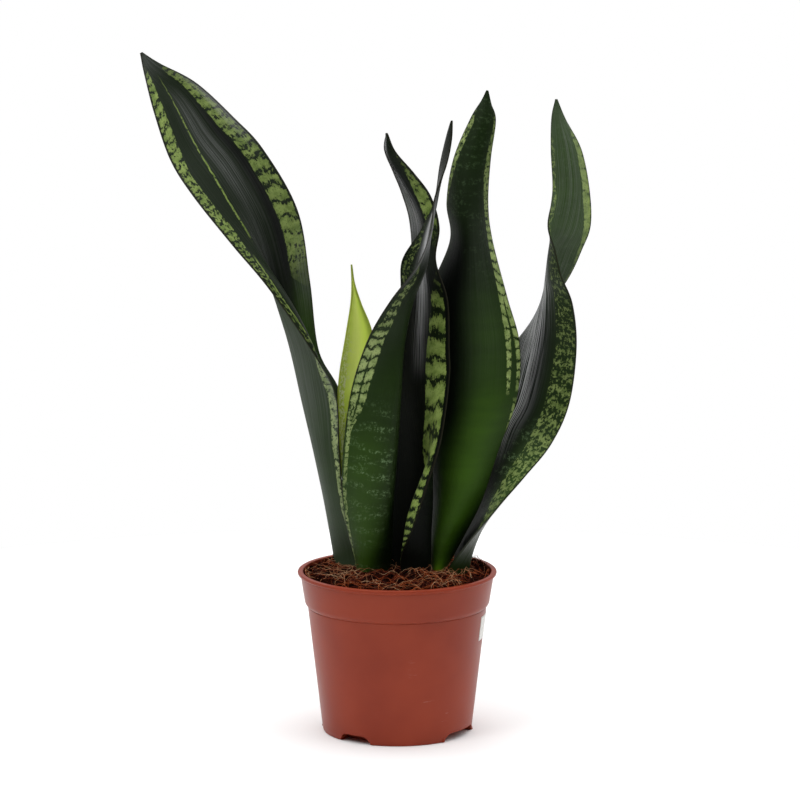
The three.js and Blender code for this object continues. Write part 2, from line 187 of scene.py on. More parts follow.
LEAVES["leaf_centre"] = {
    "fold": 1.8, "thick": (4, 2.6, 1.2), "curl": (1, 0.18, 0.115, 10),
    "left": [
        (3, 14, 77), (-6, 20, 97), (-6, 23, 120), (-5, 25, 144), (-5, 26, 174), (-7, 27, 207),
        (-6, 27, 231), (2, 25, 261), (8, 26, 284), (7.5, 20, 307), (3, 18, 324), (-2.5, 16, 338),
        (-7.5, 14, 351), (-6.8, 12.4, 361)],
    "rib": [
        (11, 5, 78), (18, 4, 96), (19, 5, 120), (20, 7, 145), (18, 8, 174), (14, 9, 203), (14, 10, 231),
        (15, 11, 260), (15, 20, 282), (16, 22, 302), (11, 22, 318), (3.5, 19, 332), (-5, 15, 347),
        (-6.3, 12, 361)],
    "right": [
        (7, 1, 79), (2, -6, 104), (9, -13, 125), (17, -15, 150), (26, -14, 180), (31, -10, 216),
        (31, -8, 234), (30, -4, 263), (23, 8, 285), (25, 10, 305), (20, 12, 323), (10, 11, 337),
        (-1, 11, 350), (-5.8, 11.7, 361)],
}
LEAVES["leaf_tall"] = {
    "fold": 2, "thick": (4.2, 2.8, 1.2),
    "left": [
        (27, 12, 77), (31, 19, 96), (39, 17, 113), (51, 14, 138), (61, 14, 169), (72, 14, 201),
        (73.5, 16, 233), (66, 20, 261), (57, 29, 295), (54.5, 32, 317), (56, 34, 343), (59, 35, 366),
        (56.3, 35, 376), (54.4, 35, 384)],
    "rib": [
        (23, 6, 77), (25, 5, 95), (26, 5, 112), (33, 5, 137), (39, 6, 167), (45, 6, 199), (47, 7, 231),
        (45, 9, 261), (44, 14, 295), (42, 20, 318), (44, 26, 342), (51, 30, 366), (53.5, 33, 377.5),
        (54, 34.6, 384.3)],
    "right": [
        (21, 12, 77), (21, 20, 96), (19, 21, 112), (20, 22, 137), (19, 22, 167), (20, 22, 199),
        (19, 22, 232), (19, 24, 261), (32, 31, 294), (30, 33, 317), (34, 34, 343), (44, 35, 367),
        (50.6, 35, 378), (53.6, 35, 384)],
}
LEAVES["leaf_right"] = {
    "fold": 1.8, "thick": (3.4, 2.4, 1.2),
    "left": [
        (33, 14, 77), (35, 19, 97), (35, 28, 112), (42, 33, 126), (48, 34, 137), (51, 37, 157),
        (55, 39, 180), (62, 38, 200), (69, 35, 227), (93, 41, 255), (104, 34, 272), (111, 26, 289),
        (116, 20, 305), (115, 21, 326), (110, 22, 350), (100.5, 24, 368), (95.4, 25, 380)],
    "rib": [
        (35, 4, 78), (41, -1, 96), (45, 3, 111), (50, 12, 125), (54, 20, 136), (61, 25, 156),
        (67, 29, 178), (76, 30, 197), (84, 29, 231), (88.5, 27, 259), (90, 25, 273), (93, 22, 290),
        (99, 18, 305), (103, 16, 327), (101, 18, 350), (97, 22, 368), (95, 24.6, 380)],
    "right": [
        (30, 4, 79), (30, -5, 98), (41, -8, 115), (55, -6, 131), (64, 3, 140), (77, 8, 154),
        (93, 17, 172), (104, 22, 196), (108, 20, 230), (105, 10, 258), (98, 5, 276), (94, 6, 292),
        (90, 10, 306), (93, 19, 326), (92, 22, 350), (92.3, 24, 369), (94.6, 25, 380)],
}

# The markings of each leaf, on its inner and its outer face, by t from its foot, 0, to its tip, 1.
# left and right are the pale bands along the margins: (t, width, bare hem, length of a cell, dark
# share of a cell, jumble, strength), with width, hem and length in mm and jumble from 0, clear cross
# bars, to 1, blotches. A band may be split by a dark line along its middle: (t, share of the width).
# warm turns a band's pale green to olive, and streaky draws the painted sheen in lengthwise streaks.
# fresh, bloom_and_sheen, flecks and shade are strokes of lighter green, of grey painted sheen with some
# waxy bloom, of pale flecks and of near black painted shade: (u at the middle, reach in u, t from,
# t to, strength), with u from -1 at the left margin to 1 at the right one.
# line is a thin pale line along the leaf: (t, mm from the left margin, half width, strength).
ALL = 2  # a stroke's reach over the whole width
EVEN = (0, ALL, 0, 1)  # a stroke over the whole face
STROKE_SOFTNESS = 0.06  # how far a stroke's ends fade, in t
CELL_LEAN = 0.25  # how far a cross bar drops towards the margin, per mm
PLAIN_BAND = [(0, 2, 0.3, 3, 0.5, 0.5, 0.6), (0.3, 5, 0.5, 5, 0.4, 0.3, 0.8),
              (0.7, 5, 0.6, 5, 0.4, 0.3, 0.8), (0.95, 0, 0, 3, 0.5, 0.3, 0)]
NO_SPLIT = [(0, 0), (1, 0)]
NO_LINE = [(0, 0, 1, 0), (1, 0, 1, 0)]
MARKINGS = {}
MARKINGS["leaf_long_left", "inner"] = {
    "left": [
        (0.4, 0, 0, 5, 0.6, 0.8, 0), (0.43, 3, 0.3, 5, 0.6, 0.8, 0.6), (0.5, 4.5, 0.5, 5, 0.56, 0.8, 0.7),
        (0.55, 5.5, 0.4, 6, 0.5, 0.8, 0.85), (0.6, 8.6, 0.6, 7, 0.42, 0.8, 0.95),
        (0.65, 7.6, 1, 7, 0.42, 0.7, 0.95), (0.7, 7, 1, 8, 0.4, 0.6, 0.95),
        (0.75, 9, 0.9, 8, 0.38, 0.7, 1), (0.8, 8, 0.9, 8, 0.36, 0.6, 1),
        (0.85, 6.3, 0.9, 7, 0.34, 0.5, 1), (0.9, 4.4, 0.8, 5, 0.35, 0.5, 0.9),
        (0.93, 2, 0.5, 5, 0.4, 0.5, 0.5), (0.95, 0, 0, 5, 0.5, 0.5, 0)],
    "right": [
        (0.49, 0, 0, 9, 0.1, 0.3, 0), (0.515, 12, 0, 9, 0.1, 0.3, 0.3),
        (0.535, 12.5, 0.3, 8, 0.45, 0.8, 0.85), (0.55, 12.5, 0.8, 9, 0.2, 0.4, 1),
        (0.6, 13.5, 1.2, 10, 0.36, 0.35, 1), (0.65, 13, 1.4, 9, 0.42, 0.5, 1),
        (0.7, 12, 1.2, 8, 0.45, 0.6, 1), (0.75, 11.5, 1.4, 8, 0.4, 0.6, 1),
        (0.8, 9.5, 1.8, 8, 0.36, 0.6, 1), (0.85, 6, 1, 7, 0.36, 0.6, 0.9),
        (0.89, 3.5, 0.3, 5, 0.4, 0.6, 0.6), (0.92, 0, 0, 4, 0.5, 0.6, 0)],
    "warm": 0.75, "streaky": 0.6, "fresh": [(0.75, 0.3, 0.43, 0.495, 1.2), (*EVEN, 0.05)],
    "bloom_and_sheen": [
        (0, ALL, 0.3, 0.97, 0.022), (0.08, 0.22, 0.62, 0.83, 0.2), (0.95, 0.16, 0.7, 0.86, 0.4),
        (0.9, 0.25, 0.49, 0.53, 0.3), (0, ALL, 0.92, 1, 0.16), (-0.25, 0.35, 0.54, 0.575, 0.3)],
    "shade": [(0.5, 0.12, 0.52, 0.8, 0.9), (0.1, 0.5, 0.4, 0.56, 0.7)],
    "line": [
        (0.42, 2.8, 0.5, 0), (0.44, 2.8, 0.5, 0.9), (0.5, 4, 0.5, 0.9), (0.55, 6.5, 0.6, 0.8),
        (0.56, 6.8, 0.8, 0), (0.575, 16, 0.9, 0), (0.59, 16.6, 0.8, 0.9), (0.65, 17.9, 0.55, 1),
        (0.7, 18.8, 0.45, 1), (0.75, 18.7, 0.35, 0.9), (0.8, 16, 0.3, 0.8), (0.87, 10.6, 0.25, 0.5),
        (0.9, 8, 0.2, 0)],
}
MARKINGS["leaf_long_left", "outer"] = {
    "left": [
        (0, 1, 0, 4, 0.3, 0.8, 0.4), (0.12, 2, 0, 4, 0.3, 0.8, 0.7), (0.2, 3, 0.2, 4, 0.35, 0.8, 0.8),
        (0.28, 4.8, 0.3, 5, 0.35, 0.8, 0.9), (0.38, 5.6, 0.4, 5, 0.35, 0.8, 0.9),
        (0.43, 4, 0.4, 5, 0.4, 0.8, 0.7), (0.47, 2, 0, 5, 0.4, 0.8, 0), (0.6, 3, 0.3, 5, 0.4, 0.5, 0.7),
        (0.9, 3, 0.3, 5, 0.4, 0.5, 0.7), (0.96, 0, 0, 5, 0.5, 0.5, 0)],
    "right": PLAIN_BAND, "warm": 0.05, "streaky": 0.25, "fresh": [(*EVEN, 0.25)],
    "bloom_and_sheen": [
        (*EVEN, 0.06), (0, ALL, 0.3, 0.46, 0.06), (-0.15, 0.3, 0.14, 0.46, 0.12),
        (-1, 0.06, 0.28, 0.5, 0.3)],
}
MARKINGS["leaf_young", "inner"] = {
    "left": [
        (0.2, 0, 0, 4, 0.4, 1, 0), (0.3, 5, 0.8, 4, 0.45, 1, 0.7), (0.5, 5.5, 0.8, 4, 0.45, 1, 0.8),
        (0.62, 3, 0.6, 4, 0.5, 1, 0.4), (0.7, 0, 0, 4, 0.5, 1, 0)],
    "right": [(0, 1, 0.2, 3, 0.5, 1, 0), (1, 1, 0.2, 3, 0.5, 1, 0)], "warm": 0, "streaky": 0,
    "fresh": [(*EVEN, 0.15), (-0.25, 0.45, 0.45, 0.84, 0.95)], "flecks": [(-0.75, 0.3, 0.25, 0.62, 1)],
    "shade": [
        (0.95, 0.3, 0.2, 0.88, 0.75), (-0.3, 0.5, 0, 0.34, 0.8), (0.4, 0.5, 0.1, 0.42, 0.6),
        (0, ALL, 0.93, 1, 0.85)],
}
MARKINGS["leaf_young", "outer"] = {
    "left": PLAIN_BAND, "right": PLAIN_BAND, "warm": 0, "streaky": 0, "fresh": [(*EVEN, 0.4)],
}
MARKINGS["leaf_front", "inner"] = {
    "left": [
        (0, 3, 0.5, 5, 0.5, 0.5, 0.5), (0.5, 5, 1, 5, 0.5, 0.5, 0.5), (0.55, 6.8, 1.6, 5, 0.56, 0.9, 0.5),
        (0.66, 6.8, 1.6, 5, 0.56, 0.9, 0.5), (0.7, 3, 1, 4, 0.6, 0.8, 0.3), (0.74, 0, 0, 3, 0.6, 0.8, 0)],
    "right": [
        (0, 3, 0.5, 5, 0.5, 0.5, 0.5), (0.5, 5, 0.5, 5, 0.5, 0.5, 0.55), (0.7, 5, 0.5, 4, 0.5, 0.5, 0.55),
        (0.8, 0, 0, 3, 0.6, 0.5, 0)],
    "warm": 0.5, "streaky": 0.5, "fresh": [(*EVEN, 0.04)],
    "bloom_and_sheen": [(0, 0.3, 0.6, 0.8, 1.2), (0, 0.25, 0.55, 0.66, 0.5)], "flecks": [(0, ALL, 0.5, 0.75, 0.3)],
    "shade": [(0, ALL, 0.45, 1, 0.5)],
}
MARKINGS["leaf_front", "outer"] = {
    "left": [
        (0, 0, 0, 3, 0.6, 0.5, 0), (0.3, 2, 0.4, 4, 0.6, 0.5, 0.5), (0.8, 2, 0.4, 4, 0.6, 0.5, 0.5),
        (0.9, 0, 0, 3, 0.6, 0.5, 0)],
    "right": [
        (0, 2.5, 0.5, 4, 0.4, 1, 0.6), (0.15, 3, 0.6, 4, 0.4, 1, 0.8), (0.22, 3.5, 1, 4, 0.4, 1, 0.5),
        (0.27, 4.4, 1.7, 4, 0.3, 1, 0.85), (0.31, 4.5, 1.5, 5, 0.3, 1, 0.8),
        (0.335, 9.5, 1, 6, 0.52, 0.8, 0.7), (0.36, 11.5, 1, 7, 0.3, 0.2, 0.95),
        (0.4, 11, 1, 7.4, 0.24, 0.1, 1), (0.43, 10, 0.8, 7.4, 0.24, 0.1, 1),
        (0.445, 9.6, 1, 6, 0.34, 0.3, 1), (0.47, 9.5, 1.4, 6, 0.42, 0.4, 0.9),
        (0.5, 10, 2.4, 6, 0.5, 0.6, 0.7), (0.55, 8.3, 2.4, 6, 0.52, 0.7, 0.62),
        (0.585, 8, 2.2, 5, 0.52, 0.8, 0.6), (0.61, 4, 1.5, 5, 0.55, 0.8, 0.4),
        (0.64, 0, 0, 3, 0.6, 0.7, 0)],
    "right_split": [(0.31, 0), (0.335, 0.15), (0.36, 0.14), (0.4, 0.12), (0.43, 0.1), (0.445, 0)],
    "warm": 0.25, "streaky": 0.4,
    "fresh": [
        (*EVEN, 0.12), (0, ALL, 0, 0.42, 0.1), (0.6, 0.5, 0.08, 0.3, 0.35), (0.3, 0.7, 0.02, 0.16, 0.3)],
    "bloom_and_sheen": [(0.7, 0.35, 0.66, 0.76, 1.0), (0.15, 0.2, 0.6, 0.64, 0.5), (1, 0.05, 0.6, 0.72, 0.9)],
    "flecks": [(0.3, 0.6, 0.16, 0.33, 0.8), (0.3, ALL, 0, 0.16, 0.3)],
    "shade": [(0, ALL, 0.55, 1, 0.6), (-0.4, 0.4, 0, 0.5, 0.5)],
}
MARKINGS["leaf_centre", "inner"] = {
    "left": [
        (0, 2, 0.5, 5, 0.5, 0.3, 0.4), (0.3, 4, 0.5, 6, 0.4, 0.3, 0.5), (0.5, 4, 0.5, 6, 0.4, 0.3, 0.5),
        (0.62, 1, 0.4, 4, 0.6, 0.3, 0)],
    "right": [
        (0, 7, 0.6, 3.2, 0.48, 0.3, 0.5), (0.077, 9, 0.6, 3.6, 0.48, 0.3, 0.6),
        (0.1, 13, 0.5, 4, 0.46, 0.3, 0.7), (0.154, 19, 0.6, 4.8, 0.46, 0.3, 0.85),
        (0.2, 22, 0.8, 6.4, 0.42, 0.3, 1), (0.25, 26, 1.4, 7.6, 0.4, 0.3, 1),
        (0.28, 28, 2.2, 11, 0.36, 0.2, 1), (0.3, 28, 2.6, 16, 0.28, 0.15, 1),
        (0.35, 23.8, 3, 15, 0.3, 0.15, 1), (0.4, 22.8, 3, 15, 0.34, 0.15, 1),
        (0.45, 19.4, 3, 17, 0.3, 0.15, 1), (0.5, 16, 2.8, 15, 0.4, 0.15, 1),
        (0.54, 13, 2.6, 14, 0.44, 0.15, 0.95), (0.56, 11, 2.4, 10, 0.55, 0.4, 0.4),
        (0.6, 0, 1, 5, 0.6, 0.3, 0), (0.63, 0, 1, 5, 0.5, 0.3, 0), (0.66, 6, 1, 6, 0.6, 0.7, 0.3),
        (0.69, 10, 1.2, 7, 0.56, 0.7, 0.5), (0.73, 12.5, 1.4, 9, 0.3, 0.4, 1),
        (0.8, 10.5, 1.4, 9, 0.24, 0.4, 1), (0.85, 6.4, 1.2, 7, 0.4, 0.7, 0.8),
        (0.9, 2, 0.6, 6, 0.5, 0.7, 0.3), (0.94, 0, 0, 3, 0.6, 0.5, 0)],
    "warm": 0.75, "streaky": 1,
    "bloom_and_sheen": [
        (0.12, 0.18, 0.53, 0.62, 0.75), (0.02, 0.18, 0.46, 0.56, 0.75), (-0.6, 0.45, 0.68, 1, 1.25),
        (-1, 0.16, 0.66, 0.97, 0.8)],
    "shade": [(0, ALL, 0, 0.6, 0.85), (0.15, 0.3, 0.6, 0.9, 0.7)],
}
MARKINGS["leaf_centre", "outer"] = {
    "left": [
        (0, 0, 0, 3, 0.6, 0.5, 0), (0.4, 2, 0.4, 4, 0.6, 0.5, 0.6), (0.8, 3, 0.4, 4, 0.6, 0.5, 0.6),
        (0.97, 0, 0, 3, 0.6, 0.5, 0)],
    "right": [
        (0, 0, 0, 3, 0.6, 0.5, 0), (0.25, 1, 0.4, 4, 0.6, 0.5, 0.5), (0.6, 4, 0.5, 4, 0.5, 0.5, 0.6),
        (0.97, 0, 0, 3, 0.6, 0.5, 0)],
    "warm": 0.4, "streaky": 0.4, "fresh": [(*EVEN, 0.04)], "flecks": [(0.2, 0.4, 0.04, 0.3, 0.15)],
    "shade": [(0, ALL, 0, 0.25, 0.9), (0, ALL, 0.25, 1, 0.35)],
}
MARKINGS["leaf_tall", "inner"] = {
    "left": PLAIN_BAND, "right": PLAIN_BAND, "warm": 0.3, "streaky": 0.4, "fresh": [(*EVEN, 0.08)],
    "bloom_and_sheen": [(0, 0.4, 0, 1, 0.12)],
}
MARKINGS["leaf_tall", "outer"] = {
    "left": [
        (0.32, 0, 0, 5, 0.3, 0.4, 0), (0.35, 1.5, 0, 5, 0.3, 0.4, 0.8), (0.38, 3, 0, 6, 0.35, 0.4, 0.9),
        (0.386, 3, 0, 6, 0.35, 0.4, 0), (0.392, 9.6, 0, 7, 0.35, 0.4, 0),
        (0.4, 9.6, 0, 7, 0.35, 0.4, 0.9), (0.44, 10.2, 0.2, 6, 0.34, 0.4, 1),
        (0.47, 10.2, 0.3, 7, 0.3, 0.3, 1), (0.5, 9.4, 0.4, 7, 0.26, 0.3, 1),
        (0.53, 8.2, 0.6, 7, 0.24, 0.3, 1), (0.55, 7.8, 0.6, 7, 0.26, 0.3, 1),
        (0.6, 7.5, 0.5, 5.5, 0.36, 0.4, 1), (0.65, 6.2, 0.5, 5, 0.45, 0.7, 0.8),
        (0.7, 6, 1, 8, 0.4, 0.9, 0.7), (0.75, 5.5, 0.6, 10, 0.3, 0.9, 0.7),
        (0.8, 3.5, 0.3, 10, 0.3, 0.9, 0.6), (0.86, 2, 0.3, 10, 0.35, 0.9, 0.5),
        (0.9, 0, 0, 5, 0.5, 0.9, 0)],
    "left_split": [
        (0.386, 0), (0.392, 0.48), (0.4, 0.48), (0.44, 0.4), (0.47, 0.28), (0.5, 0.18), (0.53, 0.12),
        (0.55, 0)],
    "right": [
        (0, 0, 0, 4, 0.4, 0.5, 0), (0.05, 1.4, 0, 6, 0.3, 0.5, 0.8), (0.22, 1.2, 0, 6, 0.3, 0.5, 0.8),
        (0.3, 0, 0, 5, 0.4, 0.5, 0), (0.66, 0, 0.3, 5, 0.4, 0.8, 0), (0.7, 2, 0.3, 5, 0.45, 0.8, 0.4),
        (0.75, 4.5, 0.3, 5, 0.42, 0.8, 0.8), (0.8, 5, 0.4, 5, 0.4, 0.8, 0.9),
        (0.84, 4.5, 0.5, 5, 0.42, 0.8, 0.8), (0.88, 1, 0.3, 4, 0.5, 0.8, 0.3),
        (0.9, 0, 0, 4, 0.5, 0.8, 0)],
    "warm": 0.4, "streaky": 0.4,
    "fresh": [
        (-0.2, 0.75, 0, 0.38, 0.85), (-0.3, 0.6, 0.38, 0.55, 0.3), (0.3, 0.5, 0, 0.09, 1.3),
        (*EVEN, 0.12)],
    "bloom_and_sheen": [(-0.25, 0.45, 0.42, 0.64, 0.028)], "flecks": [(0, ALL, 0.58, 1, 0.2)],
    "shade": [
        (0, ALL, 0.55, 0.75, 0.3), (0.55, 0.42, 0.32, 0.62, 0.95), (0.95, 0.36, 0.12, 0.32, 0.95),
        (-1.1, 0.25, 0, 0.3, 0.3)],
}
MARKINGS["leaf_right", "inner"] = {
    "left": [
        (0, 1, 0.3, 4, 0.6, 0.6, 0.3), (0.4, 3, 0.4, 5, 0.6, 0.6, 0.5), (0.55, 3, 0.4, 4, 0.6, 0.6, 0.5),
        (0.97, 0, 0, 3, 0.6, 0.6, 0)],
    "right": [
        (0, 1, 0, 5, 0.5, 0.8, 0.3), (0.09, 7, 0.8, 9, 0.46, 0.5, 0.7),
        (0.15, 10.5, 1.4, 9, 0.46, 0.5, 0.75), (0.22, 12, 1.4, 8, 0.47, 0.6, 0.7),
        (0.3, 13, 0.6, 8, 0.48, 0.7, 0.7), (0.35, 13, 0.5, 9, 0.5, 0.75, 0.65),
        (0.4, 15, 0.6, 9, 0.5, 0.7, 0.65), (0.45, 15, 0.8, 9, 0.53, 0.7, 0.6),
        (0.5, 13, 1, 8, 0.58, 0.75, 0.55), (0.55, 13, 1, 8, 0.6, 0.8, 0.48),
        (0.6, 11.6, 1, 4, 0.6, 0.85, 0.45), (0.65, 10.4, 1, 4, 0.6, 0.85, 0.45),
        (0.7, 6, 1, 4, 0.6, 0.85, 0.4), (0.76, 0, 0, 4, 0.6, 0.85, 0)],
    "warm": 0.55, "streaky": 1, "fresh": [(0.85, 0.45, 0.15, 0.36, 0.6), (0.85, 0.45, 0.36, 0.7, 0.15)],
    "bloom_and_sheen": [
        (-0.15, 0.26, 0.36, 0.57, 0.95), (0.15, 0.22, 0.56, 0.67, 0.95), (-0.5, 0.3, 0.49, 0.56, 0.8)],
    "flecks": [(0.5, 0.45, 0.16, 0.38, 0.8)],
    "shade": [(0.1, 0.25, 0.36, 0.56, 0.8), (-0.2, 0.6, 0, 0.34, 0.75)],
}
MARKINGS["leaf_right", "outer"] = {
    "left": [
        (0, 0, 0, 3, 0.5, 0.5, 0), (0.5, 2, 0.3, 5, 0.5, 0.5, 0.5), (0.65, 1.5, 0.3, 6, 0.3, 0.5, 0.4),
        (0.7, 2.5, 0.4, 8, 0.1, 0.4, 0.8), (0.74, 4, 0.5, 8, 0.1, 0.4, 0.95),
        (0.8, 5.4, 0.5, 8, 0.12, 0.4, 1), (0.86, 4.8, 0.5, 7, 0.15, 0.4, 0.9),
        (0.9, 3, 0.4, 5, 0.25, 0.4, 0.7), (0.93, 0, 0, 3, 0.5, 0.4, 0)],
    "right": [
        (0, 0, 0, 3, 0.6, 0.5, 0), (0.5, 2, 0.3, 4, 0.6, 0.5, 0.5), (0.78, 3, 0.3, 4, 0.5, 1, 0.6),
        (0.88, 3, 0.3, 4, 0.5, 1, 0.5), (0.92, 0, 0, 3, 0.6, 1, 0)],
    "warm": 0.75, "streaky": 0.6, "fresh": [(0, ALL, 0, 0.5, 0.2), (0, ALL, 0.6, 1, 0.6)],
    "bloom_and_sheen": [(0, ALL, 0.6, 1, 0.13), (0.8, 0.35, 0.13, 0.2, 0.8)], "flecks": [(0, ALL, 0.6, 1, 0.12)],
}


# ---- helpers ----
def linear(red, green, blue):
    """A colour given as 0 to 255 values, as shaders take it."""
    def channel(value):
        value /= 255
        return value / 12.92 if value <= 0.04045 else ((value + 0.055) / 1.055) ** 2.4
    return channel(red), channel(green), channel(blue), 1.0


def smoothstep(value, low, high):
    share = min(max((value - low) / (high - low), 0), 1)
    return share * share * (3 - 2 * share)


def lerp(a, b, share):
    return a + (b - a) * share


def keyed(keys, t):
    """The values of the keys (t, value, value, ...) at t."""
    for before, after in zip(keys, keys[1:]):
        if t <= after[0]:
            share = (t - before[0]) / (after[0] - before[0])
            return [lerp(a, b, max(share, 0)) for a, b in zip(before[1:], after[1:])]
    return list(keys[-1][1:])


def placed(name, data):
    """A new object of the data, in the scene."""
    thing = bpy.data.objects.new(name, data)
    bpy.context.collection.objects.link(thing)
    return thing


def new_object(name, bm, materials, smooth=True):
    mesh = bpy.data.meshes.new(name)
    bm.to_mesh(mesh)
    bm.free()
    for material in materials:
        mesh.materials.append(material)
    for polygon in mesh.polygons:
        polygon.use_smooth = smooth
    return placed(name, mesh)


def dress(thing, slot, *nodes):
    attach(thing, "root")
    if nodes:
        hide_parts(*nodes)


class Nodes:
    """A tree of shader nodes, laid a step at a time."""

    def __init__(self, owner):
        owner.use_nodes = True
        self.tree = owner.node_tree
        self.tree.nodes.clear()

    def feed(self, socket, value):
        if isinstance(value, bpy.types.NodeSocket):
            self.tree.links.new(value, socket)
        else:
            socket.default_value = value

    def node(self, kind, inputs=(), **settings):
        made = self.tree.nodes.new("ShaderNode" + kind)
        for key, value in settings.items():
            setattr(made, key, value)
        for key, value in dict(inputs).items():
            self.feed(made.inputs[key], value)
        return made

    def split(self, vector):
        return self.node("SeparateXYZ", {0: vector}).outputs[:]

    def join(self, x, y):
        return self.node("CombineXYZ", {0: x, 1: y}).outputs[0]

    def math(self, operation, a, b=0.5, c=0.5):
        return self.node("Math", {0: a, 1: b, 2: c}, operation=operation).outputs[0]

    def times(self, a, b):
        return self.math("MULTIPLY", a, b)

    def minus(self, a, b):
        return self.math("SUBTRACT", a, b)

    def scale(self, value, by, plus):
        return self.math("MULTIPLY_ADD", value, by, plus)

    def folded(self, share):
        """1 at both ends of the share, 0 at its middle."""
        return self.math("ABSOLUTE", self.scale(share, 2.0, -1.0))

    def mixed(self, share, a, b):
        return self.node("Mix", {0: share, 2: a, 3: b}).outputs[0]

    def stretch(self, vector, x, y, z=1.0):
        inputs = {0: vector, 1: (x, y, z)}
        return self.node("VectorMath", inputs, operation="MULTIPLY").outputs[0]

    def grain(self, vector, scale=1.0, detail=2.0, rough=0.5):
        inputs = {"Vector": vector, "Scale": scale, "Detail": detail, "Roughness": rough}
        return self.node("TexNoise", inputs).outputs["Fac"]

    def step(self, value, low, high, start=0.0, end=1.0):
        inputs = {0: value, 1: low, 2: high, 3: start, 4: end}
        return self.node("MapRange", inputs, interpolation_type="SMOOTHSTEP").outputs[0]

    def blend(self, share, a, b):
        """The colour between a and b."""
        return self.node("Mix", {0: share, 6: a, 7: b}, data_type="RGBA").outputs[2]

    def tone(self, value, low, high, dark, light):
        """The colour for a value between low and high, of two colours given as 0 to 255."""
        return self.blend(self.step(value, low, high), linear(*dark), linear(*light))


class Paint(Nodes):
    """One procedural material."""

    def __init__(self, name):
        self.material = bpy.data.materials.new(name)
        super().__init__(self.material)
        self.shader = self.node("BsdfPrincipled")
        self.node("OutputMaterial", {"Surface": self.shader.outputs["BSDF"]})

    def cloud(self, scale, x=1.0, y=1.0, z=1.0, **settings):
        """Noise over the object's own coordinates, in metres."""
        place = self.node("TexCoord").outputs["Object"]
        return self.grain(self.stretch(place, x, y, z), scale, **settings)

    def measures(self, name):
        """The three numbers of a vertex attribute."""
        return self.split(self.node("Attribute", attribute_name=name).outputs["Vector"])

    def finish(self, colour, roughness, height=None, depth=0.0, **sockets):
        self.feed(self.shader.inputs["Base Color"], colour)
        self.feed(self.shader.inputs["Roughness"], roughness)
        if height is not None:
            bump = self.node("Bump", {"Height": height, "Distance": depth})
            self.tree.links.new(bump.outputs[0], self.shader.inputs["Normal"])
        for key, value in sockets.items():
            self.feed(self.shader.inputs[key.replace("_", " ")], value)
        return self.material


# ---- materials ----
def margin_band(p, margin, reach, along, phase):
    """The pale cells of one margin, by mm from it and along it: (how much band, how dark a mark)."""
    width, hem, dark = p.measures(margin + "_band")
    gap, jumble, strength = p.measures(margin + "_look")
    spot = p.join(reach, along)
    teeth = p.minus(p.grain(p.stretch(spot, 0.95, 0.42), detail=5, rough=0.66), 0.5)
    drift = p.minus(p.grain(p.stretch(spot, 0.16, 0.07), detail=2), 0.5)
    ragged = p.scale(teeth, 2.2, p.scale(drift, 1.2, width))
    shown = p.times(p.step(p.minus(ragged, reach), -0.1, 0.3), strength)
    toothed = p.minus(reach, p.scale(teeth, 4.0, hem))
    shown = p.times(shown, p.step(toothed, -0.15, 0.35))
    shown = p.times(shown, p.step(width, 0.2, 1.0))

    bar = p.folded(p.math("FRACT", p.scale(drift, 1.4, phase)))
    blotch = p.grain(p.stretch(spot, 0.55, 0.42), detail=4, rough=0.62)
    mark = p.mixed(jumble, p.scale(teeth, 1.8, bar), p.scale(blotch, 3.2, -1.1))
    mark = p.math("ADD", mark, dark)
    marks = p.math("MAXIMUM", p.step(mark, 0.93, 1.05), p.step(mark, 0.72, 0.96, 0.0, 0.3))
    inside = p.math("MAXIMUM", p.minus(width, hem), 0.5)
    middle = p.folded(p.math("DIVIDE", p.minus(reach, hem), inside))
    middle = p.minus(p.scale(teeth, 0.6, middle), gap)
    split = p.times(p.step(middle, -0.08, 0.08, 1.0, 0.0), p.step(gap, 0.02, 0.08))
    specks = p.step(p.grain(p.stretch(spot, 1.3, 0.9), detail=3, rough=0.6), 0.57, 0.66, 0.0, 0.75)
    return shown, p.math("MAXIMUM", p.math("MAXIMUM", marks, split), specks)


def leaf_green(p, lay, tones, freshness, flecked, shade):
    """The green between the bands, with darker cross rows, pale flecks and painted shade."""
    green = p.blend(p.math("MINIMUM", freshness, 1.0), tones["deep"], tones["fresh"])
    green = p.blend(p.step(freshness, 1.0, 1.6), green, tones["base"])
    cross = p.grain(p.stretch(lay, 0.03, 0.11), detail=4, rough=0.6)
    green = p.blend(p.step(cross, 0.3, 0.7, 0.0, 0.22), green, tones["deep"])
    group = p.step(p.grain(p.stretch(lay, 0.06, 0.2), detail=4), 0.46, 0.6)
    dots = p.step(p.grain(p.stretch(lay, 0.5, 0.5), detail=4, rough=0.75), 0.48, 0.62)
    green = p.blend(p.times(p.times(dots, group), flecked), green, tones["fleck"])
    # Painted shade: the shade strokes darken the green towards the shadow colour.
    return p.blend(shade, green, tones["shadow"])


def pale_line(p, left, lay, tone):
    """How much of the thin pale line along the leaf shows."""
    at, half, strength = p.measures("line")
    off = p.math("ABSOLUTE", p.minus(left, p.scale(tone, 1.6, at)))
    near = p.step(p.minus(off, half), -0.25, 0.25, 1.0, 0.0)
    broken = p.step(p.grain(p.stretch(lay, 0.5, 0.3), detail=3), 0.36, 0.46)
    return p.times(p.times(near, broken), strength)


